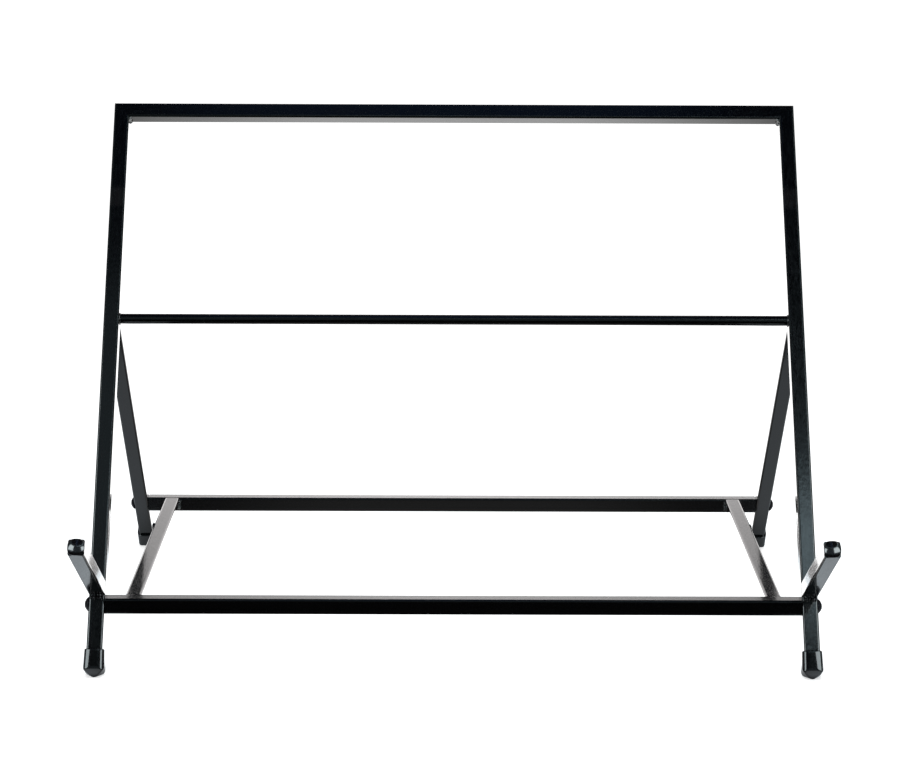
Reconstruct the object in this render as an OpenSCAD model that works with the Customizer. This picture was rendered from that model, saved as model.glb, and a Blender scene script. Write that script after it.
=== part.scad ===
/*
Table stand for a row of synthesizer modules in a case. Two square tubes lean back
and carry the case, arms at their foot hold its lower edge, and a bolted base frame
with two rear legs keeps them up. Millimetres, +Z up, front towards -Y, +X to the
right. The origin is on the floor, in the middle of the stand's plan.

Two slanted frames are used besides the level one. In the upright's frame, z runs up
along the upright from the floor and -y is out of its front face. In the leg's frame,
z runs up along the rear leg from the floor and +y is out of its back face.
*/

/* [Tube] */
// Outer size of the square steel tube
tube = 15; // [12:1:20]
// Wall of the tube
tube_wall = 1.5; // [1:0.1:2]
// Outer radius of the tube's edges
tube_round = 2; // [1.2:0.1:3]

/* [Stand] */
// Width over the outer faces of the uprights
stand_w = 684; // [400:1:1000]
// Lean of the uprights back from the vertical, in degrees
lean = 32.5; // [25:0.5:38]
// Distance up the upright from the floor to its top end
upright_top = 587; // [480:1:700]
// Distance up the upright from the floor to the round cross rod
rod_up = 357; // [300:1:440]
// Diameter of the round cross rod
rod_d = 10; // [6:1:12]

/* [Base frame] */
// Height of the middle of the level base rails
rail_h = 59; // [45:1:90]
// Distance between the middles of the front and back rails
base_depth = 348; // [280:1:400]
// Distance from an upright's outer face to the side rail's outer face
side_inset = 33; // [26:1:120]

/* [Case arms] */
// Distance up the upright from the floor to the middle of the arm
arm_up = 84; // [75:1:140]
// Length of the arm's tube in front of the upright
arm_len = 140; // [60:1:220]

/* [Arm plugs] */
// Thickness of the plug's head at its crown
plug_head = 5; // [4.6:0.1:8]
// Radius of the domed end of the head
plug_dome = 13; // [12:0.5:30]
// Radius of the head's corners
plug_round = 4; // [2:0.1:5]
// Length of the stem inside the tube
plug_stem = 16; // [10:1:30]
// Size of the square stem between the fins
plug_core = 9.4; // [6:0.1:9.6]
// Wall of the hollow stem
plug_wall = 1.3; // [1:0.1:2]
// Thickness of one fin
fin_t = 0.8; // [0.6:0.1:1.2]
// Number of fins
fin_count = 4; // [2:1:5]

/* [Foot caps] */
// Wall of the dipped sleeve round the tube
cap_wall = 2.4; // [1.5:0.1:3]
// Length of the straight sleeve
cap_sleeve = 16.5; // [10:0.5:22]
// Tilt of the bottom's four flanks, in degrees
cap_tilt = 34; // [20:1:40]
// Radius of the shoulder between the sleeve and a flank
cap_shoulder = 5; // [3:0.5:7]
// Radius of the sleeve's upright corners
cap_round = 5; // [3:0.1:6]
// How far the soft bottom is pressed flat by the floor
foot_flat = 0.4; // [0.2:0.05:0.8]

/* [Bolts] */
// Thread diameter of the bolt
bolt_d = 8; // [5:1:8]
// Length of the bolt under its head
bolt_len = 30; // [28:1:34]
// Diameter of the round head
head_d = 14; // [12:0.5:16]
// Height of the round head
head_h = 4.4; // [3.5:0.1:5]
// Height of the head's straight edge
head_edge = 0.7; // [0.4:0.1:1.2]
// Size of the hexagon socket across its flats
socket_w = 5; // [4:0.5:6]
// Depth of the hexagon socket
socket_depth = 2.6; // [2:0.1:3]
// Length of the threaded block in a rail's end
block_len = 20; // [18:1:30]

/* [Welds] */
// Length of a fillet weld's leg
weld_leg = 2.6; // [2:0.1:4]
// Advance of the weld from one ripple to the next
ripple = 1.8; // [1.2:0.1:3]
// Depth of a ripple as a share of the weld's leg
ripple_depth = 0.14; // [0.05:0.01:0.2]
// Swell of the weld's face, from 0 for flat to 1 for a full round
weld_swell = 0.55; // [0.2:0.05:1]

/* [Fits] */
// Gap between a cap or plug and the tube, and round a threaded block
slip_fit = 0.05; // [0.02:0.01:0.1]
// Gap between the bolt and its thread
thread_fit = 0.05; // [0.02:0.01:0.1]
// Difference between a plain hole's diameter and the bolt's
hole_fit = 0.5; // [0.2:0.1:1]

/* [Hidden] */
left = -1;
right = 1;
front = -1;
back = 1;
steel_black = "#17171a";
bolt_black = "#1e1e20";
vinyl_black = "#0c0c0e";
zinc_grey = "#a9acae";
$fn = 64;

// The tube's half size, its bore and the radius of the bore's corners
half = tube / 2;
bore = tube - 2 * tube_wall;
bore_round = max(tube_round - tube_wall, 0.4);
tube_flat = tube - 2 * tube_round;
// Middle of an upright across the stand, and the clear width between the uprights
upright_x = stand_w / 2 - half;
clear_w = stand_w - 2 * tube;
// The front rail's middle lies on the uprights' middle line
front_rail_y = rail_h * tan(lean);
back_rail_y = front_rail_y + base_depth;
side_rail_x = stand_w / 2 - side_inset - half;
// The rear legs brace the uprights behind the cross rod: a leg's middle line runs from the
// floor through the back rail's middle to the upright's back face at the rod's height
brace_y = rod_up * sin(lean) + half * cos(lean);
brace_z = rod_up * cos(lean) - half * sin(lean);
leg_lean = atan2(back_rail_y - brace_y, brace_z - rail_h);
leg_foot_y = back_rail_y + rail_h * tan(leg_lean);
leg_top = brace_z / cos(leg_lean);
// The slanted end's half length along the upright, and the opening below it
spread = lean + leg_lean;
brace_half = half / sin(spread);
// Distances from the floor along the upright and the rear leg to their bolts
front_bolt_up = rail_h / cos(lean);
rear_bolt_up = rail_h / cos(leg_lean);

// The cap's bottom: each flank runs from the round shoulder down to the point on the axis
cap_half = half + slip_fit + cap_wall;
shoulder_x = cap_half - cap_shoulder;
flank_x = shoulder_x + cap_shoulder * sin(cap_tilt);
flank_z = -cap_shoulder * cos(cap_tilt);
cap_point = flank_x * tan(cap_tilt) - flank_z;
// How far the bottom reaches in a direction that is turned by a from straight down its axis
function cap_reach(a) = max(cap_point * cos(a), shoulder_x * sin(a) + cap_shoulder);
// Where the tubes end inside the caps, along the upright and along the leg
upright_end = (cap_reach(lean) - foot_flat) / cos(lean);
leg_end = (cap_reach(leg_lean) - foot_flat) / cos(leg_lean);

// The stand's foremost point is on a plug's dome, its rearmost one on a rear cap
dome_out = half + arm_len + plug_head - plug_dome;
front_y = arm_up * sin(lean) - dome_out * cos(lean) - plug_dome;
back_y = leg_foot_y - leg_end * sin(leg_lean) + cap_reach(90 - leg_lean);
middle_y = (front_y + back_y) / 2;

// A round head is a slice of a ball above its straight edge
head_crown = head_h - head_edge;
head_ball = (pow(head_d / 2, 2) + pow(head_crown, 2)) / (2 * head_crown);

// A weld's section has a fan of steps from the corner, a ripple has steps along the run, and
// the size of a run's ends is a share of the full leg
fan_steps = 5;
fan_points = fan_steps + 2;
ripple_steps = 3;
end_size = 0.55;

// Larger than the stand, for cuts by a plane, and how far a cut runs past what it cuts
far = 2000;
cut_over = 1;

module level_frame() {
    translate([0, -middle_y, 0]) children();
}

module upright_frame() {
    level_frame() rotate([-lean, 0, 0]) children();
}

module leg_frame() {
    level_frame() translate([0, leg_foot_y, 0]) rotate([leg_lean, 0, 0]) children();
}

// Moves its children to the left or right upright's middle plane
module at_side(side) {
    translate([side * upright_x, 0, 0]) children();
}

// Turns what stands along z so that it runs along x
module along_x() {
    rotate([0, 90, 0]) children();
}

module round_square(size, radius) {
    square([size, size - 2 * radius], center = true);
    square([size - 2 * radius, size], center = true);
    for (x = [-1, 1], y = [-1, 1])
        translate([x, y] * (size / 2 - radius)) circle(radius);
}

module square_tube(length) {
    linear_extrude(length)
        difference() {
            round_square(tube, tube_round);
            round_square(bore, bore_round);
        }
}

// A plain hole along x through both walls of a tube, z above its frame's floor
module bolt_hole(z) {
    translate([0, 0, z]) along_x()
        cylinder(d = bolt_d + hole_fit, h = tube + 2 * cut_over, center = true);
}

// Everything past the mitre plane that runs from the inner to the outer top corner
module above_mitre(side) {
    translate([side * upright_x, 0, upright_top - half]) rotate([0, side * -45, 0])
        translate([-far / 2, -far / 2, 0]) cube([far, far, far]);
}

module below_mitre(side) {
    translate([side * upright_x, 0, upright_top - half]) rotate([0, side * -45, 0])
        translate([-far / 2, -far / 2, -far]) cube([far, far, far]);
}

// A tube from its capped foot to a mitre at the top rail, drilled for the base frame
module upright(side) {
    color(steel_black) upright_frame()
        difference() {
            at_side(side) translate([0, 0, upright_end]) square_tube(upright_top - upright_end);
            above_mitre(side);
            at_side(side) bolt_hole(front_bolt_up);
        }
}

module left_upright() { upright(left); }
module right_upright() { upright(right); }

// The rail over the top, leaning with the uprights and mitred to them
module top_rail() {
    color(steel_black) upright_frame()
        difference() {
            translate([-stand_w / 2, 0, upright_top - half]) along_x() square_tube(stand_w);
            below_mitre(left);
            below_mitre(right);
        }
}

// A round rod between the uprights' inner faces
module cross_rod() {
    color(steel_black) upright_frame()
        translate([0, 0, rod_up]) along_x() cylinder(d = rod_d, h = clear_w, center = true);
}

// A short tube square to the upright's front face, which holds the case's lower edge
module case_arm(side) {
    color(steel_black) upright_frame() at_side(side)
        translate([0, -half, arm_up]) rotate([90, 0, 0]) square_tube(arm_len);
}

module left_case_arm() { case_arm(left); }
module right_case_arm() { case_arm(right); }

// A tube from its capped foot to the upright's back face, cut there to the slant
module rear_leg(side) {
    color(steel_black)
        difference() {
            leg_frame() at_side(side) translate([0, 0, leg_end])
                square_tube(leg_top + tube - leg_end);
            upright_frame() translate([-far / 2, half - far, -far / 2]) cube([far, far, far]);
            leg_frame() at_side(side) bolt_hole(rear_bolt_up);
        }
}

module left_rear_leg() { rear_leg(left); }
module right_rear_leg() { rear_leg(right); }

// A level rail between the inner faces of the uprights or of the rear legs
module cross_rail(y) {
    color(steel_black) level_frame()
        translate([-clear_w / 2, y, rail_h]) along_x() square_tube(clear_w);
}

module front_rail() { cross_rail(front_rail_y); }
module back_rail() { cross_rail(back_rail_y); }

// A level rail from the front rail's back face to the back rail's front face
module side_rail(side) {
    color(steel_black) level_frame()
        translate([side * side_rail_x, back_rail_y - half, rail_h]) rotate([90, 0, 0])
            square_tube(base_depth - tube);
}

module left_side_rail() { side_rail(left); }
module right_side_rail() { side_rail(right); }

// A threaded steel block, pressed flush into the end of a cross rail
module thread_block(side, y) {
    color(zinc_grey) level_frame()
        translate([side * (clear_w / 2 - block_len / 2), y, rail_h]) along_x()
            difference() {
                linear_extrude(block_len, center = true) round_square(bore - 2 * slip_fit, bore_round);
                cylinder(d = bolt_d + 2 * thread_fit, h = block_len + 2 * cut_over, center = true);
            }
}

module left_front_block() { thread_block(left, front_rail_y); }
module right_front_block() { thread_block(right, front_rail_y); }
module left_rear_block() { thread_block(left, back_rail_y); }
module right_rear_block() { thread_block(right, back_rail_y); }

// A round-headed socket bolt from the outer face through the tube into the rail's block
module bolt(side, y) {
    color(bolt_black) level_frame()
        translate([side * stand_w / 2, y, rail_h]) rotate([0, side * 90, 0])
            difference() {
                union() {
                    translate([0, 0, -bolt_len]) cylinder(d = bolt_d, h = bolt_len);
                    rotate_extrude()
                        intersection() {
                            square([head_d / 2, head_h]);
                            translate([0, head_h - head_ball]) circle(head_ball);
                        }
                }
                translate([0, 0, head_h - socket_depth]) rotate(30)
                    cylinder(d = socket_w / cos(30), h = head_h, $fn = 6);
            }
}

module left_front_bolt() { bolt(left, front_rail_y); }
module right_front_bolt() { bolt(right, front_rail_y); }
module left_rear_bolt() { bolt(left, back_rail_y); }
module right_rear_bolt() { bolt(right, back_rail_y); }

// A cap's outer section through two opposite flanks, with the tube's cut end at y = 0
module cap_section() {
    translate([-cap_half, 0]) square([2 * cap_half, cap_sleeve]);
    for (x = [-shoulder_x, shoulder_x])
        translate([x, 0]) circle(cap_shoulder);
    polygon([[0, -cap_point], [flank_x, flank_z], [shoulder_x, 0], [-shoulder_x, 0],
             [-flank_x, flank_z]]);
}

// A dipped vinyl cap on a tube's foot, with the tube's cut end at z = 0 on its floor. Its
// section is the same both ways, so its bottom has four flanks and a point.
module foot_cap() {
    difference() {
        intersection() {
            translate([0, 0, -cap_point - cut_over])
                linear_extrude(cap_point + cut_over + cap_sleeve)
                    round_square(2 * cap_half, cap_round);
            intersection_for (turn = [0, 90])
                rotate([90, 0, turn]) linear_extrude(4 * cap_half, center = true) cap_section();
        }
        linear_extrude(cap_sleeve + cut_over)
            round_square(tube + 2 * slip_fit, tube_round + slip_fit);
    }
}

// The floor presses the soft bottoms flat
module stand_on_floor() {
    difference() {
        children();
        translate([-far / 2, -far / 2, -far]) cube([far, far, far]);
    }
}

module front_cap(side) {
    color(vinyl_black) stand_on_floor() upright_frame() at_side(side)
        translate([0, 0, upright_end]) foot_cap();
}

module rear_cap(side) {
    color(vinyl_black) stand_on_floor() leg_frame() at_side(side)
        translate([0, 0, leg_end]) foot_cap();
}

module left_front_cap() { front_cap(left); }
module right_front_cap() { front_cap(right); }
module left_rear_cap() { rear_cap(left); }
module right_rear_cap() { rear_cap(right); }

// A moulded plug: a domed head on the tube's end, and a hollow stem whose fins grip the bore
module arm_plug(side) {
    color(vinyl_black) upright_frame() at_side(side)
        translate([0, -half - arm_len, arm_up]) rotate([90, 0, 0]) {
            intersection() {
                linear_extrude(plug_head) round_square(tube, plug_round);
                translate([0, 0, plug_head - plug_dome]) sphere(plug_dome, $fn = 96);
            }
            difference() {
                union() {
                    translate([0, 0, -plug_stem]) linear_extrude(plug_stem)
                        square(plug_core, center = true);
                    for (i = [0 : fin_count - 1])
                        translate([0, 0, -plug_stem + i * (plug_stem - fin_t) / fin_count])
                            linear_extrude(fin_t) round_square(bore - 2 * slip_fit, bore_round);
                }
                translate([0, 0, -plug_stem - cut_over]) linear_extrude(plug_stem + cut_over)
                    square(plug_core - 2 * plug_wall, center = true);
            }
        }
}

module left_arm_plug() { arm_plug(left); }
module right_arm_plug() { arm_plug(right); }

/*
Fillet welds. A bead lies in the corner of two faces that open by an angle. Its section
is a fan from the corner, and its size pulses along the run, once for each ripple.
*/

// Size of the bead at step i of a run of n steps
function bead_size(i, n) =
    weld_leg * (i == 0 || i == n ? end_size : 1 - ripple_depth * pow((i % ripple_steps) / ripple_steps, 2));
// Distance from the corner to the bead's face at angle a of an opening, for a leg of 1
function fan_reach(a, opening) =
    (1 - weld_swell) * cos(opening / 2) / cos(a - opening / 2) + weld_swell;
// The fan's points about the corner, for one size of bead
function fan(size, opening) =
    [[0, 0], for (k = [0 : fan_steps])
        let (a = opening * k / fan_steps)
            size * fan_reach(a, opening) * [cos(a), sin(a)]];
// Triangles between the ring of points at step i and the one at step j
function band(i, j) =
    [for (k = [0 : fan_points - 1])
        let (p = i * fan_points, q = j * fan_points, m = (k + 1) % fan_points)
            each [[p + k, q + m, q + k], [p + k, p + m, q + m]]];

// A straight bead along x, in the corner of the +y direction and the one at the opening's angle
module straight_bead(length, opening = 90) {
    n = ripple_steps * max(2, round(length / ripple));
    rings = [for (i = [0 : n]) each [for (p = fan(bead_size(i, n), opening))
        [length * (i / n - 0.5), p.x, p.y]]];
    ends = [for (k = [1 : fan_points - 2]) each
        [[0, k, k + 1], [n * fan_points, n * fan_points + k + 1, n * fan_points + k]]];
    polyhedron(rings, concat(ends, [for (i = [0 : n - 1]) each band(i, i + 1)]));
}

// A bead round the rod, against the face at z = 0, on its +z side
module ring_bead() {
    turns = round(PI * (rod_d + weld_leg) / ripple);
    n = ripple_steps * turns;
    inner = rod_d / 2 / cos(180 / n);
    rings = [for (i = [0 : n - 1])
        let (a = 360 * i / n, size = bead_size(i + ripple_steps, 2 * n))
            each [for (p = fan(size, 90)) [(inner + p.x) * cos(a), (inner + p.x) * sin(a), p.y]]];
    polyhedron(rings, [for (i = [0 : n - 1]) each band(i, (i + 1) % n)]);
}

// Inside the mitred corners, across the tube
module top_corner_welds() {
    color(steel_black) upright_frame()
        for (side = [left, right]) mirror([side == left ? 1 : 0, 0, 0])
            translate([clear_w / 2, 0, upright_top - tube]) mirror([0, 0, 1])
                rotate([0, 0, 90]) straight_bead(tube_flat);
}

// Round both ends of the rod
module cross_rod_welds() {
    color(steel_black) upright_frame()
        for (side = [left, right])
            translate([side * clear_w / 2, 0, rod_up]) rotate([0, side * -90, 0]) ring_bead();
}

// Below each arm, on the upright's front face. The corner above is bare, for the case's edge
module case_arm_welds() {
    color(steel_black) upright_frame()
        for (side = [left, right]) at_side(side)
            translate([0, -half, arm_up - half]) rotate([180, 0, 0]) straight_bead(tube_flat);
}

// Below and above each rear leg's slanted end, on the upright's back face
module rear_leg_welds() {
    color(steel_black) upright_frame()
        for (side = [left, right]) at_side(side) {
            translate([0, half, rod_up - brace_half]) rotate([-90, 0, 0])
                straight_bead(tube_flat, spread);
            translate([0, half, rod_up + brace_half]) rotate([spread - 90, 0, 0])
                straight_bead(tube_flat, 180 - spread);
        }
}

// Beside both ends of each side rail, upright in the corners
module base_frame_welds() {
    color(steel_black) level_frame()
        for (side = [left, right], face = [-half, half])
            translate([side * side_rail_x + face, 0, rail_h]) mirror([face < 0 ? 1 : 0, 0, 0]) {
                translate([0, front_rail_y + half, 0]) along_x() straight_bead(tube_flat);
                translate([0, back_rail_y - half, 0]) mirror([0, 1, 0]) along_x()
                    straight_bead(tube_flat);
            }
}

left_upright();
right_upright();
top_rail();
cross_rod();
left_case_arm();
right_case_arm();
left_rear_leg();
right_rear_leg();
front_rail();
back_rail();
left_side_rail();
right_side_rail();
left_front_block();
right_front_block();
left_rear_block();
right_rear_block();
left_front_bolt();
right_front_bolt();
left_rear_bolt();
right_rear_bolt();
left_front_cap();
right_front_cap();
left_rear_cap();
right_rear_cap();
left_arm_plug();
right_arm_plug();
top_corner_welds();
cross_rod_welds();
case_arm_welds();
rear_leg_welds();
base_frame_welds();
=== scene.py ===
"""A table stand for a row of synthesizer modules: black enamelled square tubes, which lean
back to carry the case, bolted to a level base frame, with vinyl caps on the feet and
plugs in the ends of the case arms. Metres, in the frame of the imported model."""

import bpy
import numpy as np
from math import cos, pi, radians, sin, tan
from mathutils import Matrix


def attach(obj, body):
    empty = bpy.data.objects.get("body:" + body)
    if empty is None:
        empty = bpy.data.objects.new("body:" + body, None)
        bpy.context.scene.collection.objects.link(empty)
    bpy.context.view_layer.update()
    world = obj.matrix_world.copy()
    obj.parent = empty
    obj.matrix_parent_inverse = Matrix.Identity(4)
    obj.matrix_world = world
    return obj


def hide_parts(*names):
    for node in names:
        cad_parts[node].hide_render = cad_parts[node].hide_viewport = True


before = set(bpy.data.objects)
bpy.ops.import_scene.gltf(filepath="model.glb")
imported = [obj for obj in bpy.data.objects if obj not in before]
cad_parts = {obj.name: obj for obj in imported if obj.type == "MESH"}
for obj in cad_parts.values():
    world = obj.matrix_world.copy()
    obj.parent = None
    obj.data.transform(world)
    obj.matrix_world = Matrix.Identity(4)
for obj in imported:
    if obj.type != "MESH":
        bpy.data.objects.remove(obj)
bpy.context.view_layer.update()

# ---------------------------------------------------------------------------
# Leaning frame: the two uprights and the top rail, mitred to them, are 15 mm square steel
# tube. It is welded up, then enamelled by dipping or spraying and stoved hard.
# ---------------------------------------------------------------------------

MM = 0.001
TUBE = 15 * MM
LEAN = radians(32.5)
# Where the uprights' middle lines meet the floor: to either side, and behind the middle
UPRIGHT_X, FOOT_Y = 334.5 * MM, -174.689 * MM
# The top rail's underside, up along the uprights from there
TOP_RAIL_UNDER = 572 * MM


def colour(code):
    """A written sRGB colour, such as 1a2b3c, as the linear colour that a shader takes."""
    srgb = np.array([int(code[i:i + 2], 16) for i in (0, 2, 4)]) / 255
    linear = np.where(srgb <= 0.04045, srgb / 12.92, ((srgb + 0.055) / 1.055) ** 2.4)
    return (*linear.tolist(), 1.0)


def put(tree, kind, sockets, **settings):
    """Adds a node to a tree. A socket is given a value, an output to link it to, or
    another node, whose first output in use is linked."""
    added = tree.nodes.new("ShaderNode" + kind)
    for name, value in settings.items():
        setattr(added, name, value)
    for key, value in sockets.items():
        if isinstance(value, bpy.types.Node):
            value = next(output for output in value.outputs if output.enabled)
        if isinstance(value, bpy.types.NodeSocket):
            tree.links.new(value, added.inputs[key])
        else:
            added.inputs[key].default_value = value
    return added


def bare_material(name):
    """A new material, its empty node tree and the place on a piece for its patterns."""
    material = bpy.data.materials.new(name)
    material.use_nodes = True
    tree = material.node_tree
    tree.nodes.clear()
    return material, tree, put(tree, "TexCoord", {}).outputs["Object"]


def enamel(name, turn, foot=(0, 0, 0), greyed_spans=(), drawn=1.0):
    """Gloss black stoving enamel on drawn tube, a hard near-black film with a wet shine.

    It mirrors its surroundings sharply, with a slight orange peel 4 mm across. Fine draw
    lines of the steel run along the tube and show through as short streaks in the gloss.
    The real lines are 0.1 mm apart and are drawn 1.7 mm apart, to show at the photo's
    scale. turn and foot bring the tube's length to z. greyed_spans lists greyed places as
    the ends of a range along it, in metres from its foot. drawn is 0 where no line shows."""
    paint, tree, place = bare_material(name)
    along = put(tree, "Mapping", {"Vector": place, "Location": foot, "Rotation": turn})
    lines = put(tree, "Mapping", {"Vector": along, "Scale": (1, 1, 0.2)})
    peel = put(tree, "TexNoise", {"Vector": place, "Scale": 240, "Detail": 2,
                                  "Roughness": 0.4})
    grit = put(tree, "TexNoise", {"Vector": place, "Scale": 1300, "Detail": 3,
                                  "Roughness": 0.6})
    draw = put(tree, "TexNoise", {"Vector": lines, "Scale": 600, "Detail": 3,
                                  "Roughness": 0.65})
    # Specks of dust that settled in the wet film, a fraction of a millimetre across
    speck = put(tree, "MapRange", {0: grit, 1: 0.70, 2: 0.76, 3: 0, 4: 0.8})
    tone = put(tree, "Mix", {0: speck, 6: colour("020203"), 7: colour("303336")},
               data_type="RGBA")
    upward = put(tree, "SeparateXYZ", {0: along}).outputs[2]
    for low, high in greyed_spans:
        # The greyed place's ends are 4 and 6 mm wide and broken up by the grit
        ragged = put(tree, "Math", {0: grit, 1: 10 * MM, 2: -5 * MM},
                     operation="MULTIPLY_ADD")
        at = put(tree, "Math", {0: upward, 1: ragged}, operation="ADD")
        rise = put(tree, "MapRange", {0: at, 1: low - 2 * MM, 2: low + 2 * MM},
                   interpolation_type="SMOOTHSTEP")
        fall = put(tree, "MapRange", {0: at, 1: high - 3 * MM, 2: high + 3 * MM,
                                      3: 1, 4: 0}, interpolation_type="SMOOTHSTEP")
        grey_patch = put(tree, "Math", {0: rise, 1: fall}, operation="MULTIPLY")
        tone = put(tree, "Mix", {0: grey_patch, 6: tone, 7: colour("0e0d0e")}, data_type="RGBA")
    rough = put(tree, "MapRange", {0: draw, 1: 0.3, 2: 0.7, 3: 0.10, 4: 0.24})
    hills = put(tree, "Bump", {"Height": peel, "Distance": 0.06 * MM, "Strength": 0.4})
    # The film levels out over the lines, so its own surface shows them half as deep
    lined, levelled = (
        put(tree, "Bump", {"Height": draw, "Distance": deep, "Strength": 0.9 * drawn,
                           "Normal": hills}) for deep in (0.05 * MM, 0.025 * MM))
    shader = put(tree, "BsdfPrincipled", {
        "Base Color": tone, "Roughness": rough, "IOR": 1.5, "Coat Weight": 1.0,
        "Coat Roughness": 0.05, "Coat IOR": 1.5, "Normal": lined, "Coat Normal": levelled})
    put(tree, "OutputMaterial", {"Surface": shader})
    return paint


def painted(paint, *names):
    """Puts a paint on CAD nodes, whose shape is right as it is."""
    for name in names:
        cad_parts[name].material_slots[0].material = paint


def leaning(x, y, z):
    """A point given across, behind and up along the uprights, in the level frame."""
    return np.stack(np.broadcast_arrays(
        x, y * cos(LEAN) + z * sin(LEAN) + FOOT_Y, -y * sin(LEAN) + z * cos(LEAN)), -1)


# Both uprights are greyed 474 to 494 mm up along them
upright_enamel = enamel(
    "gloss_black_enamel_on_uprights", (LEAN, 0, 0),
    (0, -FOOT_Y * cos(LEAN), -FOOT_Y * sin(LEAN)), greyed_spans=[(0.474, 0.494)])
rail_enamel = enamel("gloss_black_enamel_on_rails", (0, pi / 2, 0))
painted(upright_enamel, "left_upright", "right_upright")
painted(rail_enamel, "top_rail")

# ---------------------------------------------------------------------------
# Cross rod: a 10 mm round bar between the uprights, which keeps them the same distance
# apart. It is cut square, welded all round at both ends and enamelled with the frame.
# ---------------------------------------------------------------------------

ROD_R, ROD_UP = 5 * MM, 357 * MM
painted(rail_enamel, "cross_rod")

# ---------------------------------------------------------------------------
# Case arms: two short tubes, square to the uprights' fronts, hold the case's lower edge.
# They are butt-welded on and enamelled with the frame, and their draw lines run forwards.
# ---------------------------------------------------------------------------

ARM_LEN, ARM_UP = 140 * MM, 84 * MM
arm_enamel = enamel("gloss_black_enamel_on_arms", (LEAN - pi / 2, 0, 0))
painted(arm_enamel, "left_case_arm", "right_case_arm")

# ---------------------------------------------------------------------------
# Rear legs: two tubes, cut to the slant and welded to the uprights' backs, brace the
# leaning frame and carry the base frame's back rail.
# ---------------------------------------------------------------------------

LEG_LEAN = radians(38.216)
LEG_FOOT_Y = 257.36 * MM
leg_enamel = enamel(
    "gloss_black_enamel_on_legs", (-LEG_LEAN, 0, 0),
    (0, -LEG_FOOT_Y * cos(LEG_LEAN), LEG_FOOT_Y * sin(LEG_LEAN)))
painted(leg_enamel, "left_rear_leg", "right_rear_leg")

# ---------------------------------------------------------------------------
# Base frame: front and back rails with two side rails welded between them. It is a level
# ladder of the same tube, enamelled, which bolts between the four legs.
# ---------------------------------------------------------------------------

RAIL_Z = 59 * MM
FRONT_RAIL_Y = RAIL_Z * tan(LEAN) + FOOT_Y
BACK_RAIL_Y = FRONT_RAIL_Y + 348 * MM
SIDE_RAIL_X = 301.5 * MM
side_rail_enamel = enamel("gloss_black_enamel_on_side_rails", (pi / 2, 0, 0))
painted(rail_enamel, "front_rail", "back_rail")
painted(side_rail_enamel, "left_side_rail", "right_side_rail")

# ---------------------------------------------------------------------------
# Weld beads: small fillets laid by hand in the corners where tubes meet. Each stop of the
# arc freezes as a ripple, and the enamel covers steel and bead alike and pools on it.
# ---------------------------------------------------------------------------

# The leg of a bead in general, of those under the arms and of those round the rod
BEAD_LEG, ARM_LEG, ROD_LEG = 2.6 * MM, 4.4 * MM, 1.1 * MM
# From one ripple to the next
RIPPLE = 2.2 * MM


def skin(name, rows, wrap=False):
    """A closed skin over a grid of points. Every row runs round, and the rows follow one
    another along the piece. The first and last row are closed by a fan about their middle,
    or joined to each other where wrap is set. The faces are turned to point outwards."""
    count, around = rows.shape[:2]
    here = np.arange(count * around).reshape(count, around)
    ahead = np.roll(here, -1, axis=1)
    last = None if wrap else -1
    quads = np.stack([here, ahead, np.roll(ahead, -1, 0), np.roll(here, -1, 0)], -1)[:last]
    points, faces = rows.reshape(-1, 3), quads.reshape(-1, 4).tolist()
    if not wrap:
        start, end = count * around, count * around + 1
        points = np.vstack([points, rows[0].mean(0), rows[-1].mean(0)])
        faces += np.stack([ahead[0], here[0], np.full(around, start)], -1).tolist()
        faces += np.stack([here[-1], ahead[-1], np.full(around, end)], -1).tolist()
    # The volume that the faces enclose is negative where they point inwards
    a, b, c, d = (points[quads.reshape(-1, 4)[:, k]] for k in range(4))
    volume = (np.cross(a - points[0], b - points[0]) * (c - points[0])).sum()
    volume += (np.cross(a - points[0], c - points[0]) * (d - points[0])).sum()
    if volume < 0:
        faces = [face[::-1] for face in faces]
    mesh = bpy.data.meshes.new(name)
    mesh.from_pydata(points.tolist(), [], faces)
    mesh.shade_smooth()
    mesh.set_sharp_from_angle(angle=radians(50))
    piece = bpy.data.objects.new(name, mesh)
    bpy.context.scene.collection.objects.link(piece)
    return piece


def joined(name, parts, material, node):
    """Makes one piece of several skins, finishes it and lets it stand for a CAD node."""
    with bpy.context.temp_override(active_object=parts[0], selected_editable_objects=parts):
        if len(parts) > 1:
            bpy.ops.object.join()
    piece = parts[0]
    piece.name = name
    piece.data.materials.append(material)
    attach(piece, "root")
    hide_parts(node)


def bead_fan(run, opening, length, seed, leg):
    """Points of a bead about its corner: how far out along the first face and how far up
    from it, for steps along the run by steps over the fan.

    The size falls over each ripple as the square of the way to the next one, and the
    ripples are bowed forwards at the bead's middle. Slow waves of the hand change it by up
    to a seventh, and the ends are rounded off. The toes lie just under the tubes' faces."""
    over = np.linspace(0, 1, 13)[None, :]
    bowed = run[:, None] / RIPPLE - 0.4 * (1 - (2 * over - 1) ** 2)
    size = 1 - 0.26 * (bowed % 1) ** 2
    # The waves turn by 900 and 2100 radians to the metre, so they are 7 and 3 mm long
    size += (0.09 * np.sin(run[:, None] * 900 + seed)
             + 0.05 * np.sin(run[:, None] * 2100 - seed))
    if length:
        to_end = np.minimum(run, length - run)[:, None]
        size = size * np.sqrt(1 - (1 - np.clip(to_end / (0.9 * MM), 0.05, 1)) ** 2)
    angle = -0.03 + (opening + 0.06) * over
    # The face lies between a straight line from toe to toe and a full round
    face = 0.45 * cos(opening / 2) / np.cos(angle - opening / 2) + 0.55
    out, up = leg * size * face * np.cos(angle), leg * size * face * np.sin(angle)
    # The bead's root lies a little inside the corner
    root = -0.15 * MM * np.ones((len(run), 1))
    return np.hstack([root, out]), np.hstack([root, up])


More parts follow.
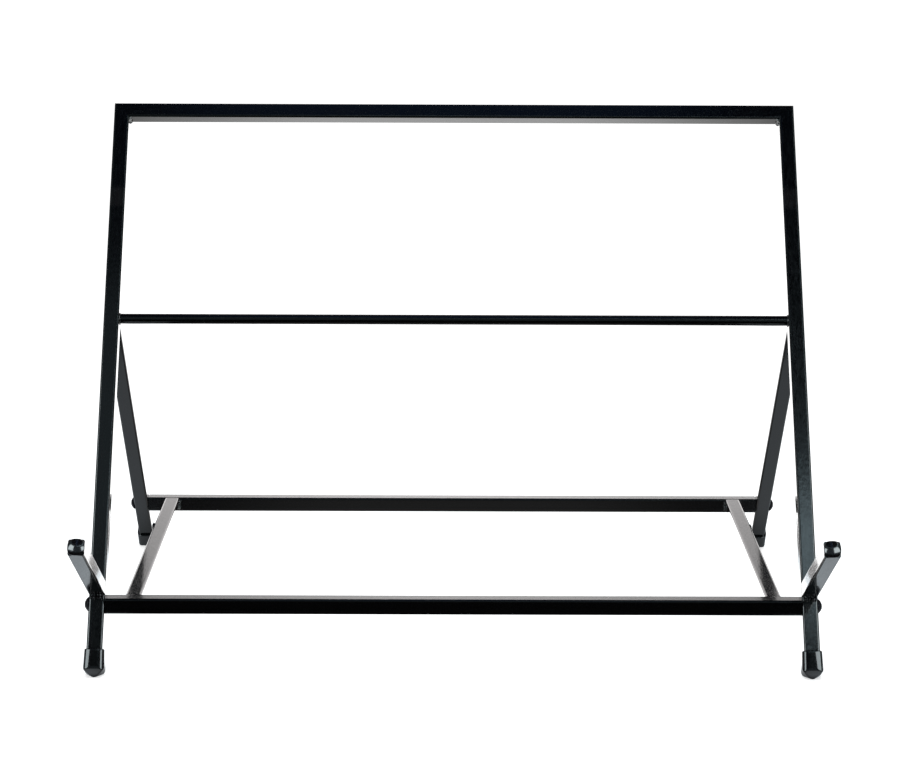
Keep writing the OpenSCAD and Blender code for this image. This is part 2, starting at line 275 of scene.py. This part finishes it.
def straight_bead(corner, along, out, up, seed, opening=pi / 2, length=11 * MM,
                  leg=BEAD_LEG):
    """A bead in a straight corner. along, out and up are unit directions of the run, of
    the first face away from the corner and of that face's normal."""
    run = np.linspace(0, length, 62)
    away, above = bead_fan(run, opening, length, seed, leg)
    rows = (np.array(corner) + (run - length / 2)[:, None, None] * np.array(along)
            + away[..., None] * np.array(out) + above[..., None] * np.array(up))
    return skin("bead", rows)


def ring_bead(middle, axis, across, upward, radius, seed):
    """A bead round a rod where it meets a flat face. axis points along the rod from the
    face, and across and upward are the other two directions."""
    turns = round(pi * (2 * radius + ROD_LEG) / RIPPLE)
    run = np.linspace(0, turns * RIPPLE, 16 * turns, endpoint=False)
    turn = (run / (turns * RIPPLE) * 2 * pi)[:, None, None]
    away, above = bead_fan(run, pi / 2, 0, seed, ROD_LEG)
    spoke = np.cos(turn) * np.array(across) + np.sin(turn) * np.array(upward)
    rows = (np.array(middle) + (radius + away[..., None]) * spoke
            + above[..., None] * np.array(axis))
    return skin("bead", rows, wrap=True)


bead_enamel = enamel("gloss_black_enamel_on_welds", (0, 0, 0), drawn=0.0)


def welded(place, parts):
    """Makes one piece of a group's beads, which stands for the group's CAD welds."""
    joined(place + "_beads", parts, bead_enamel, place + "_welds")


LEAN_BACK = np.array([0, cos(LEAN), -sin(LEAN)])
LEAN_UP = np.array([0, sin(LEAN), cos(LEAN)])
ACROSS = np.array([1.0, 0, 0])
BOTH = (-1, 1)

welded("top_corner", [
    straight_bead(leaning(side * (UPRIGHT_X - TUBE / 2), 0, TOP_RAIL_UNDER), LEAN_BACK,
                  -side * ACROSS, -LEAN_UP, side, length=13.5 * MM) for side in BOTH])
welded("cross_rod", [
    ring_bead(leaning(side * (UPRIGHT_X - TUBE / 2), 0, ROD_UP), -side * ACROSS,
              LEAN_BACK, LEAN_UP, ROD_R, side + 2) for side in BOTH])
welded("case_arm", [
    straight_bead(leaning(side * UPRIGHT_X, -TUBE / 2, ARM_UP - TUBE / 2), ACROSS,
                  -LEAN_BACK, -LEAN_UP, side + 4, length=13 * MM, leg=ARM_LEG)
    for side in BOTH])

# The rear legs meet the uprights' backs at the sum of the two leans
SPREAD = LEAN + LEG_LEAN
HALF_SLANT = TUBE / 2 / sin(SPREAD)
welded("rear_leg", [
    straight_bead(leaning(side * UPRIGHT_X, TUBE / 2, ROD_UP + way * HALF_SLANT), ACROSS,
                  way * LEAN_UP, LEAN_BACK, side + way + 7, opening)
    for side in BOTH for way, opening in ((-1, SPREAD), (1, pi - SPREAD))])
welded("base_frame", [
    straight_bead((side * SIDE_RAIL_X + face * TUBE / 2, y, RAIL_Z), (0, 0, 1),
                  (face, 0, 0), (0, way, 0), side + 2 * face + way + 12)
    for side in BOTH for face in BOTH
    for y, way in ((FRONT_RAIL_Y + TUBE / 2, 1), (BACK_RAIL_Y - TUBE / 2, -1))])

# ---------------------------------------------------------------------------
# Threaded blocks: zinc-plated steel blocks, sawn from bar, drilled and tapped M8, which are
# pressed flush into the ends of the front and back rails for the bolts.
# ---------------------------------------------------------------------------

PITCH = 1.25 * MM
TURN = np.linspace(0, 2 * pi, 96, endpoint=False)
SIDES = ((-1, "left"), (1, "right"))
# The four places of the blocks and bolts: on which side, how far back, and the name
CORNERS = [(side, y, side_name + "_" + row_name) for side, side_name in SIDES
           for y, row_name in ((FRONT_RAIL_Y, "front"), (BACK_RAIL_Y, "rear"))]


def blunt_square(half, power):
    """Radius by angle of a square with rounded corners, as a superellipse: the sum of the
    powers of x and y, each over half the width, is 1."""
    return half / (abs(np.cos(TURN)) ** power + abs(np.sin(TURN)) ** power) ** (1 / power)


def turned(radius, height, origin, axis, across, upward):
    """Rows of points at a radius round an axis and a height along it, both given by row
    and angle."""
    radius, height = np.broadcast_arrays(radius, height)
    return (np.array(origin) + height[..., None] * np.array(axis)
            + (radius * np.cos(TURN))[..., None] * np.array(across)
            + (radius * np.sin(TURN))[..., None] * np.array(upward))


def thread(height, least, most):
    """Radius of a screw thread: it climbs and falls as a triangle over each pitch, cut off
    flat at its least and its most, and the start turns with the angle."""
    phase = (height / PITCH - TURN[None, :] / (2 * pi)) % 1
    return least + (most - least) * np.clip(1.25 * (1 - abs(2 * phase - 1)) - 0.1, 0, 1)


# Bright zinc plate: a pale metal with faint blue, and saw marks under it 0.4 mm apart
zinc, tree, place = bare_material("zinc_plated_steel")
saw = put(tree, "Mapping", {"Vector": place, "Scale": (0.05, 1, 1)})
marks = put(tree, "TexNoise", {"Vector": saw, "Scale": 2500, "Detail": 2})
bloom = put(tree, "TexNoise", {"Vector": place, "Scale": 300, "Detail": 3})
tint = put(tree, "Mix", {0: bloom, 6: colour("a9b0b8"), 7: colour("c6c4bc")},
           data_type="RGBA")
rough = put(tree, "MapRange", {0: marks, 3: 0.22, 4: 0.42})
relief = put(tree, "Bump", {"Height": marks, "Distance": 0.02 * MM})
shader = put(tree, "BsdfPrincipled", {
    "Base Color": tint, "Metallic": 1.0, "Roughness": rough, "Normal": relief})
put(tree, "OutputMaterial", {"Surface": shader})

BLOCK_LEN, BLOCK_HALF, FILED = 20 * MM, 5.95 * MM, 0.4 * MM
# The tapped thread is drawn just outside the bolt's, so that the two don't pass through
# each other
TAP_CREST, TAP_ROOT = 4.05 * MM, 4.45 * MM
# Round the block: up the tapped hole, over a face, back along the outside
deep = np.linspace(-BLOCK_LEN, 0, 129)[:, None]
outside = blunt_square(BLOCK_HALF, 9)
height = np.vstack([deep, [[0], [-0.5 * MM], [0.5 * MM - BLOCK_LEN], [-BLOCK_LEN]]])
radius = np.vstack([thread(deep, TAP_CREST, TAP_ROOT),
                    outside - FILED, outside, outside, outside - FILED])
for side, y, corner in CORNERS:
    rows = turned(radius, height, (side * (UPRIGHT_X - TUBE / 2), y, RAIL_Z),
                  (side, 0, 0), (0, 1, 0), (0, 0, 1))
    joined(corner + "_tapped_block", [skin("block", rows, wrap=True)],
           zinc, corner + "_block")

# ---------------------------------------------------------------------------
# Bolts: four M8 socket screws with round heads, cold-headed steel with rolled threads and
# blackened. They go through the legs into the threaded blocks.
# ---------------------------------------------------------------------------

# Black oxide is a thin dark skin on the steel: satin, slightly blue, uneven by the bath
blackened, tree, place = bare_material("blackened_steel")
bath = put(tree, "TexNoise", {"Vector": place, "Scale": 500, "Detail": 3})
oxide = put(tree, "Mix", {0: bath, 6: colour("1a1a1d"), 7: colour("2b2b30")},
            data_type="RGBA")
rough = put(tree, "MapRange", {0: bath, 3: 0.26, 4: 0.44})
relief = put(tree, "Bump", {"Height": bath, "Distance": 0.02 * MM})
shader = put(tree, "BsdfPrincipled", {
    "Base Color": oxide, "Metallic": 0.85, "Roughness": rough, "Normal": relief})
put(tree, "OutputMaterial", {"Surface": shader})

HEAD_R, HEAD_H, HEAD_EDGE = 7 * MM, 4.4 * MM, 0.7 * MM
SOCKET_DEEP, SOCKET_CONE, SOCKET_EDGE = 2.6 * MM, 0.3 * MM, 0.25 * MM
SHANK_LEN, THREAD_ROOT, THREAD_CREST, TIP = 30 * MM, 3.35 * MM, 3.97 * MM, 1 * MM
# The head's crown is the cap of a ball of this radius, down to the height of its edge
ball = (HEAD_R ** 2 + (HEAD_H - HEAD_EDGE) ** 2) / (2 * (HEAD_H - HEAD_EDGE))
# Radius by angle of the socket, 5 mm across its flats
hexagon = 2.5 * MM / np.cos(TURN % (pi / 3) - pi / 6)


def softened(radius, height, times):
    """Rounds a profile's corners: each row moves half-way to the mean of its neighbours,
    a number of times over."""
    for _ in range(times):
        for values in (radius, height):
            values[1:-1] = 0.5 * values[1:-1] + 0.25 * (values[:-2] + values[2:])
    return radius, height


# Out of the socket: its cone, its six walls and the chamfer at its mouth
steps = np.linspace(0.02, 1, 8)[:, None]
cone_r = steps * hexagon
cone_h = HEAD_H - SOCKET_DEEP - SOCKET_CONE * (1 - steps) + 0 * TURN
steps = np.linspace(0, 1, 5)[:, None]
wall_r = hexagon + 0 * steps
wall_h = HEAD_H - SOCKET_DEEP + (SOCKET_DEEP - SOCKET_EDGE) * steps + 0 * TURN
# Over the ball of the head from the socket's mouth to the rim, and down its edge
steps = np.linspace(0, 1, 24)[:, None]
crown_r = (1 - steps) * (hexagon + SOCKET_EDGE) + steps * HEAD_R
crown_h = HEAD_H - ball + np.sqrt(ball ** 2 - crown_r ** 2)
rim_r = HEAD_R - np.array([[0], [0], [0.15], [0.6]]) * MM + 0 * TURN
rim_h = np.array([[0.5], [0.2], [0.02], [0]]) * MM + 0 * TURN
crown_r, crown_h = softened(np.vstack([crown_r, rim_r]), np.vstack([crown_h, rim_h]), 2)
# Along the rolled thread to the tip, which tapers at 45 degrees
deep = -np.linspace(0, SHANK_LEN, 193)[:, None]
shank_r = np.minimum(thread(deep, THREAD_ROOT, THREAD_CREST),
                     THREAD_CREST - np.maximum(TIP - SHANK_LEN - deep, 0))
radius = np.vstack([cone_r, wall_r, crown_r, shank_r])
height = np.vstack([cone_h, wall_h, crown_h, deep + 0 * TURN])
for side, y, corner in CORNERS:
    rows = turned(radius, height, (side * (UPRIGHT_X + TUBE / 2), y, RAIL_Z),
                  (side, 0, 0), (0, 1, 0), (0, 0, 1))
    joined(corner + "_socket_bolt", [skin("bolt", rows)],
           blackened, corner + "_bolt")

# ---------------------------------------------------------------------------
# Foot caps: dip-moulded soft vinyl. A hot steel former is dipped in liquid PVC, so the wall
# is a little fuller at the bottom, every edge is round, and the skin is wet-glossy.
# ---------------------------------------------------------------------------

# Plasticised PVC: deep black, clear shine, faint flow waves 6 mm long and some dust
vinyl, tree, place = bare_material("dipped_gloss_vinyl")
flow = put(tree, "TexNoise", {"Vector": place, "Scale": 170, "Detail": 1})
dust = put(tree, "TexNoise", {"Vector": place, "Scale": 1500, "Detail": 3,
                              "Roughness": 0.7})
tone = put(tree, "Mix", {0: dust, 6: colour("050506"), 7: colour("0c0d0f")},
           data_type="RGBA")
rough = put(tree, "MapRange", {0: dust, 1: 0.35, 2: 0.75, 3: 0.08, 4: 0.18})
waves = put(tree, "Bump", {"Height": flow, "Distance": 0.1 * MM, "Strength": 0.6})
specks = put(tree, "Bump", {"Height": dust, "Distance": 0.01 * MM, "Strength": 0.5,
                            "Normal": waves})
shader = put(tree, "BsdfPrincipled", {
    "Base Color": tone, "Roughness": rough, "IOR": 1.53, "Coat Weight": 1.0,
    "Coat Roughness": 0.08, "Normal": specks})
put(tree, "OutputMaterial", {"Surface": shader})

CAP_HALF, SLEEVE = 10.1 * MM, 16.5 * MM
CAP_TILT, SHOULDER = radians(34), 5 * MM
SHOULDER_X = CAP_HALF - SHOULDER
FLANK_X = SHOULDER_X + SHOULDER * sin(CAP_TILT)
CAP_POINT, BLUNT, SUNK = 9.37 * MM, 1.2 * MM, 0.9 * MM
# Of half the cap's width, by how much its sides swell and its front and back draw in
SIDE_SWELL, FRONT_DRAW = 0.07, 0.045


def cap_floor(away):
    """Height of a cap's section at a distance from its middle plane: a flank that climbs
    from the blunt point at the cap's tilt, then a quarter round up to the wall."""
    flank = -CAP_POINT + tan(CAP_TILT) * (np.sqrt(away ** 2 + BLUNT ** 2) - SUNK)
    round_off = -np.sqrt(np.maximum(SHOULDER ** 2 - (away - SHOULDER_X) ** 2, 0))
    return np.where(away < FLANK_X, flank, round_off)


def cap_bottom(radius):
    """Height of a cap's bottom by radius and angle: the higher of two sections, one by the
    distance in x and one in y, so that four flanks meet at a blunt point. The edges between
    them are rounded, as the logarithm of the sum of both sections' exponentials."""
    soft = 0.35 * MM
    ways = [cap_floor(abs(radius * wave)) for wave in (np.cos(TURN), np.sin(TURN))]
    return soft * np.log(np.exp(ways[0] / soft) + np.exp(ways[1] / soft))


def foot_cap(origin, lean_axes):
    """A cap about the tube's middle line, with the tube's cut end at height 0.

    Its outline is a superellipse, whose sides grow by 0.7 mm from the rim to the shoulder
    as the dip runs down, while its front and back draw in by 0.45 mm. Inside, it is a
    socket for the tube. The whole outside is softened along its profile, and what would
    pass the floor is pressed flat."""
    outer, bore = blunt_square(CAP_HALF, 4), blunt_square(7.52 * MM, 8)
    steps = np.linspace(0.02, 1, 6)[:, None]
    climb = np.linspace(0.05, 1, 12)[:, None]
    inner_r = np.vstack([steps * bore, bore + 0 * climb])
    inner_h = np.vstack([0 * steps, climb * SLEEVE]) + 0 * TURN
    # Over the rim, down the wall and in along the bottom
    rim = np.linspace(0.1, 0.9, 8)[:, None]
    rim_r, rim_h = bore + rim * (0.97 * outer - bore), SLEEVE + 0 * rim + 0 * TURN
    down = np.linspace(0, 1, 48)[:, None]
    wall_r = outer * (1 - SIDE_SWELL * np.cos(TURN) ** 2 * (1 - down)
                      - FRONT_DRAW * np.sin(TURN) ** 2 * down)
    wall_h = SLEEVE + (cap_bottom(wall_r[-1:]) - SLEEVE) * down
    under_r = np.linspace(0.98, 0.01, 36)[:, None] * wall_r[-1]
    radius, height = softened(np.vstack([rim_r, wall_r, under_r]),
                              np.vstack([rim_h, wall_h, cap_bottom(under_r)]), 8)
    back, up = lean_axes
    rows = turned(np.vstack([inner_r, radius]), np.vstack([inner_h, height]),
                  origin, up, ACROSS, back)
    rows[..., 2] = np.maximum(rows[..., 2], 0)
    return skin("cap", rows)


LEG_BACK = np.array([0, cos(LEG_LEAN), sin(LEG_LEAN)])
LEG_UP = np.array([0, -sin(LEG_LEAN), cos(LEG_LEAN)])
# The tubes' cut ends, up along them from where their middle lines meet the floor
UPRIGHT_CUT, LEG_CUT = 8.896 * MM, 9.752 * MM
for side, side_name in SIDES:
    joined(side_name + "_front_vinyl_cap",
           [foot_cap(leaning(side * UPRIGHT_X, 0, UPRIGHT_CUT), (LEAN_BACK, LEAN_UP))],
           vinyl, side_name + "_front_cap")
    foot = np.array([side * UPRIGHT_X, LEG_FOOT_Y, 0]) + LEG_CUT * LEG_UP
    joined(side_name + "_rear_vinyl_cap", [foot_cap(foot, (LEG_BACK, LEG_UP))],
           vinyl, side_name + "_rear_cap")

# ---------------------------------------------------------------------------
# Arm plugs: injection-moulded polyethylene. The domed head closes the arm's end, and a
# hollow stem with four thin fins is knocked in and grips the tube's bore.
# ---------------------------------------------------------------------------

# From a polished mould: black and shiny, with sink marks 4 mm across and fine scuffs
moulded, tree, place = bare_material("moulded_gloss_polyethylene")
sink = put(tree, "TexNoise", {"Vector": place, "Scale": 260, "Detail": 1})
scuffs = put(tree, "TexNoise", {"Vector": place, "Scale": 1800, "Detail": 4,
                                "Roughness": 0.7})
tone = put(tree, "Mix", {0: scuffs, 6: colour("060607"), 7: colour("0f0f11")},
           data_type="RGBA")
rough = put(tree, "MapRange", {0: scuffs, 1: 0.35, 2: 0.7, 3: 0.14, 4: 0.30})
dents = put(tree, "Bump", {"Height": sink, "Distance": 0.08 * MM, "Strength": 0.5})
shader = put(tree, "BsdfPrincipled", {
    "Base Color": tone, "Roughness": rough, "IOR": 1.52, "Coat Weight": 1.0,
    "Coat Roughness": 0.12, "Coat IOR": 1.9, "Normal": dents})
put(tree, "OutputMaterial", {"Surface": shader})

DOME, CROWN, STEM, FIN = 13 * MM, 5 * MM, 16 * MM, 0.8 * MM
# The crown of a ball out to the head's outline, then down the head's edge
head = blunt_square(7.75 * MM, 2.9)
dome_r = np.linspace(0.02, 1, 30)[:, None] * head
dome_h = CROWN - DOME + np.sqrt(DOME ** 2 - dome_r ** 2)
down = np.linspace(1, 0, 9)[1:, None]
head_r, head_h = softened(np.vstack([dome_r, head + 0 * down]),
                          np.vstack([dome_h, dome_h[-1] * down]), 6)
# The stem is a square post with a square hollow. Each fin steps out to the bore and back
post, fin, hollow = (blunt_square(half * MM, power)
                     for half, power in ((4.7, 14), (5.9, 9), (3.4, 14)))
levels, outlines = [], []
for below in (3, 2, 1, 0):
    foot = -STEM + below * (STEM - FIN) / 4
    levels += [foot + FIN, foot + 0.7 * MM, foot + 0.1 * MM, foot]
    outlines += [post, fin, fin, post]
levels += [-STEM, -1 * MM, -1 * MM]
outlines += [hollow, hollow, 0.02 * hollow]
radius = np.vstack([head_r, post, *outlines])
height = np.vstack([head_h, 0 * post, np.array(levels)[:, None] + 0 * TURN])
for side, side_name in SIDES:
    rows = turned(radius, height, leaning(side * UPRIGHT_X, -TUBE / 2 - ARM_LEN, ARM_UP),
                  -LEAN_BACK, ACROSS, LEAN_UP)
    joined(side_name + "_moulded_plug", [skin("plug", rows)], moulded,
           side_name + "_arm_plug")

# ---------------------------------------------------------------------------
# Studio: a plain white floor that runs into a white backdrop, a large soft lamp overhead,
# and two softboxes in front, left and right, which only the gloss shows. In the gloss, the
# floor is a glow with painted light and shade.
# ---------------------------------------------------------------------------

# The floor reaches this far each way, in metres
FAR = 12
floor_mesh = bpy.data.meshes.new("floor")
floor_mesh.from_pydata([(-FAR, -FAR, 0), (FAR, -FAR, 0), (FAR, FAR, 0), (-FAR, FAR, 0)],
                       [], [(0, 1, 2, 3)])
floor = bpy.data.objects.new("floor", floor_mesh)
bpy.context.scene.collection.objects.link(floor)


def light_map(tree, steps, ramps, sums):
    """Works out how bright the gloss sees each place of the studio, from three tables.

    steps names smooth weights, each by what it goes by, from where to where, and what it
    is before and after. ramps are the same, but change evenly. sums puts them together in
    order, by the new weight's name, one weight, what is done, and the other weight."""
    weights = {}
    for rows, change in ((steps, "SMOOTHSTEP"), (ramps, "LINEAR")):
        for name, row in rows.items():
            weights[name] = put(tree, "MapRange", dict(enumerate(row)),
                                interpolation_type=change)
    for name, first, done, second in sums:
        weights[name] = put(tree, "Math", {0: weights[first], 1: weights[second]},
                            operation=done)
    return weights


white, tree, place = bare_material("white_studio_floor")
path = put(tree, "LightPath", {})
seen = put(tree, "Math", {0: path.outputs["Is Camera Ray"],
                          1: path.outputs["Is Transmission Ray"]}, operation="ADD")
x, y = put(tree, "SeparateXYZ", {0: place}).outputs[:2]
aside = put(tree, "Math", {0: x}, operation="ABSOLUTE")
spot = put(tree, "CombineXYZ", {0: aside, 1: y, 2: 0})
to_front_foot, to_rear_foot = (
    put(tree, "VectorMath", {0: spot, 1: (UPRIGHT_X, foot_y, 0)}, operation="DISTANCE")
    for foot_y in (-0.172, 0.257))
# A normal tilted forwards tells a glance that runs back along the floor from one that
# runs down
forwards = put(tree, "CombineXYZ", {0: 0, 1: -0.9, 2: 0.43})
glance = put(tree, "LayerWeight", {"Normal": forwards}).outputs["Facing"]
on_floor = light_map(tree, {
    # What the gloss shows of the floor is painted light, a glow with no lamp: bright behind
    # the stand, and towards the front and the sides it fades to the dark of the room
    "behind": (y, 0.05, 0.62, 0.01, 1.78),
    "middle": (aside, 0.1, 0.5, 1, 0.3),
    "margin": (aside, 0.36, 0.55, 1, 0.04),
    # A little light is left between the legs, more so in the middle
    "nearer": (y, -0.16, 0.0, 0, 0.14),
    "narrow": (aside, 0.14, 0.34, 1, 0.43),
    # Beside the legs it is lighter at the front feet and from the middle back
    "beside": (aside, 0.30, 0.345, 0, 1),
    "onward": (y, -0.30, -0.18, 0, 0.57),
    "fading": (y, -0.075, -0.045, 1, 0.03),
    "rear": (y, 0.01, 0.05, 0, 0.36),
    # A painted pool of light, as from the lamps in front, reaches right up to the
    # toes of the front feet
    "toe": (y, -0.215, -0.195, 0, 0.7),
    "toe_end": (y, -0.181, -0.174, 1, 0),
    # A painted sheen: a glance that runs back along the floor, between the legs, meets a
    # painted reflection of the backdrop's glare
    "glare": (glance, 0.055, 0.085, 1.95, 0),
    "between": (aside, 0.345, 0.375, 1, 0),
    # A painted shadow round each foot darkens the floor for a few centimetres
    "front_foot_painted_shadow": (to_front_foot, 0.012, 0.055, 0.18, 1),
    "rear_foot_painted_shadow": (to_rear_foot, 0.012, 0.055, 0.6, 1)}, {
    "near": (y, 0.30, 0.40, 1, 0)}, (
    ("nearer", "nearer", "MULTIPLY", "narrow"),
    ("behind", "behind", "ADD", "nearer"),
    ("behind", "behind", "MULTIPLY", "middle"),
    ("behind", "behind", "MULTIPLY", "margin"),
    ("sides", "onward", "MULTIPLY", "fading"),
    ("sides", "sides", "ADD", "rear"),
    ("sides", "sides", "MULTIPLY", "beside"),
    ("floor", "behind", "MAXIMUM", "sides"),
    ("glare", "glare", "MULTIPLY", "between"),
    ("floor", "floor", "MAXIMUM", "glare"),
    ("floor", "floor", "MULTIPLY", "front_foot_painted_shadow"),
    ("floor", "floor", "MULTIPLY", "rear_foot_painted_shadow"),
    ("toe", "toe", "MULTIPLY", "toe_end"),
    ("toe", "toe", "MULTIPLY", "beside"),
    ("floor", "floor", "MAXIMUM", "toe"),
    ("cool", "near", "MULTIPLY", "beside")))
# The light beside the stand is a little cooler than that behind it
cooler = put(tree, "Mix", {0: on_floor["cool"], 6: colour("ffffff"), 7: colour("eef8ff")},
             data_type="RGBA")
lit = put(tree, "BsdfDiffuse", {"Color": colour("e6e6e6")})
glow = put(tree, "Emission", {"Strength": 0.62})
plain = put(tree, "AddShader", {0: lit, 1: glow})
# The gloss sees the floor as this glow, with the painted light and shade worked out above
painted_floor_glow = put(tree, "Emission", {"Color": cooler, "Strength": on_floor["floor"]})
first = put(tree, "MixShader", {0: seen, 1: lit, 2: plain})
second = put(tree, "MixShader", {0: path.outputs["Is Glossy Ray"], 1: first, 2: painted_floor_glow})
put(tree, "OutputMaterial", {"Surface": second})
white.cycles.emission_sampling = "NONE"
floor_mesh.materials.append(white)

world = bpy.data.worlds.new("studio")
bpy.context.scene.world = world
world.use_nodes = True
world.cycles.sampling_method = "NONE"
tree = world.node_tree
tree.nodes.clear()
path = put(tree, "LightPath", {})
seen = put(tree, "Math", {0: path.outputs["Is Camera Ray"],
                          1: path.outputs["Is Transmission Ray"]}, operation="ADD")
# In the world, the place is the direction that the ray goes in, a unit long
toward = put(tree, "TexCoord", {}).outputs["Generated"]
right, back, high = put(tree, "SeparateXYZ", {0: toward}).outputs
aside = put(tree, "Math", {0: right}, operation="ABSOLUTE")
in_room = light_map(tree, {
    # The backdrop: white up to 14 degrees above the floor, and fading out above, more so
    # towards the sides
    "drop": (high, 0.235, 0.275, 1.0, 0),
    "upper": (high, 0.30, 0.45, 1, 0),
    "centre": (aside, 0.0, 0.15, 0.95, 0.50),
    "wide": (aside, 0.25, 0.5, 1, 0),
    "ahead": (back, 0.1, 0.4, 0, 1),
    # A pale gap under the room's dark ceiling, in front: narrow and bright to the right,
    # wide and faint to the left
    "gap": (high, 0.704, 0.740, 0, 1),
    "gap_end": (high, 0.736, 0.763, 1, 0),
    "faint": (high, 0.735, 0.76, 0, 1),
    "faint_end": (high, 0.785, 0.82, 1, 0),
    # The ceiling over the middle has a little blue light from the sky
    "above": (high, 0.81, 0.84, 0, 1),
    "sky": (aside, 0.07, 0.135, 0.10, 0),
    # A dim glow from the room behind the camera, up to 40 degrees above the floor, and a
    # trace of light everywhere
    "dim": (high, 0.60, 0.68, 0.114, 0.004)}, {
    "gap_right": (right, -0.12, 0.12, 0.15, 2.15),
    "faint_left": (right, -0.1, 0.08, 0.18, 0.01)}, (
    ("upper", "upper", "MULTIPLY", "centre"),
    ("drop", "drop", "ADD", "upper"),
    ("drop", "drop", "MULTIPLY", "wide"),
    ("drop", "drop", "MULTIPLY", "ahead"),
    ("gap", "gap", "MULTIPLY", "gap_end"),
    ("gap", "gap", "MULTIPLY", "gap_right"),
    ("faint", "faint", "MULTIPLY", "faint_end"),
    ("faint", "faint", "MULTIPLY", "faint_left"),
    ("sky", "sky", "MULTIPLY", "above"),
    ("room", "drop", "ADD", "gap"),
    ("room", "room", "ADD", "faint"),
    ("room", "room", "ADD", "sky"),
    ("room", "room", "ADD", "dim")))
# The room in front is cooler in colour than the backdrop, and the ceiling bluer still
front = put(tree, "Mix", {0: in_room["above"], 6: colour("d8f4ff"), 7: colour("86b4ff")},
            data_type="RGBA")
cool = put(tree, "Mix", {0: in_room["ahead"], 6: front, 7: colour("fffcfc")},
           data_type="RGBA")
tint = put(tree, "Mix", {0: path.outputs["Is Glossy Ray"], 6: colour("ffffff"), 7: cool},
           data_type="RGBA")
# The camera sees plain white, and dull surfaces are lit at 0.6 of it
light = put(tree, "Mix", {0: seen, 2: 0.6, 3: 1.0})
strength = put(tree, "Mix", {0: path.outputs["Is Glossy Ray"], 2: light,
                             3: in_room["room"]})
surround = put(tree, "Background", {"Color": tint, "Strength": strength})
put(tree, "OutputWorld", {"Surface": surround})


def area_lamp(name, place, tilt, turn, size, watts):
    """A rectangular lamp that the camera doesn't see. It is tilted from straight down
    towards the back and then turned about z, both in degrees."""
    lamp = bpy.data.lights.new(name, "AREA")
    lamp.shape = "RECTANGLE"
    lamp.size, lamp.size_y = size
    lamp.energy = watts
    lamp.color = colour("f0fcff")[:3]
    box = bpy.data.objects.new(name, lamp)
    box.matrix_world = (Matrix.Translation(place) @ Matrix.Rotation(radians(turn), 4, "Z")
                        @ Matrix.Rotation(radians(tilt), 4, "X"))
    box.visible_camera = False
    bpy.context.scene.collection.objects.link(box)
    return box


overhead = area_lamp("overhead_softbox", (0, -0.5, 2.4), -12, 0, (2.4, 1.6), 40)
overhead.visible_glossy = False
left_box = area_lamp("left_softbox", (-1.35, -1.06, 0.95), 90, -49, (1.15, 1.1), 14.5)
right_box = area_lamp("right_softbox", (1.27, -1.14, 0.95), 90, 44, (1.3, 1.1), 16)
left_box.visible_diffuse = right_box.visible_diffuse = False

# ---------------------------------------------------------------------------
# Camera: 2.3 m in front and 0.78 m up, looking down by 13 degrees through a long lens,
# turned and tipped by a fifth of a degree as the photo's was.
# ---------------------------------------------------------------------------

lens = bpy.data.cameras.new("camera")
lens.sensor_width, lens.lens = 36, 97.125
lens.sensor_fit = "HORIZONTAL"
camera = bpy.data.objects.new("camera", lens)
camera.matrix_world = (Matrix.Translation((-0.01116, -2.31261, 0.77955))
                       @ Matrix.Rotation(radians(-0.1869), 4, "Z")
                       @ Matrix.Rotation(radians(76.75), 4, "X")
                       @ Matrix.Rotation(radians(0.226), 4, "Z"))
bpy.context.scene.collection.objects.link(camera)
bpy.context.scene.camera = camera
bpy.context.scene.view_settings.view_transform = "Standard"
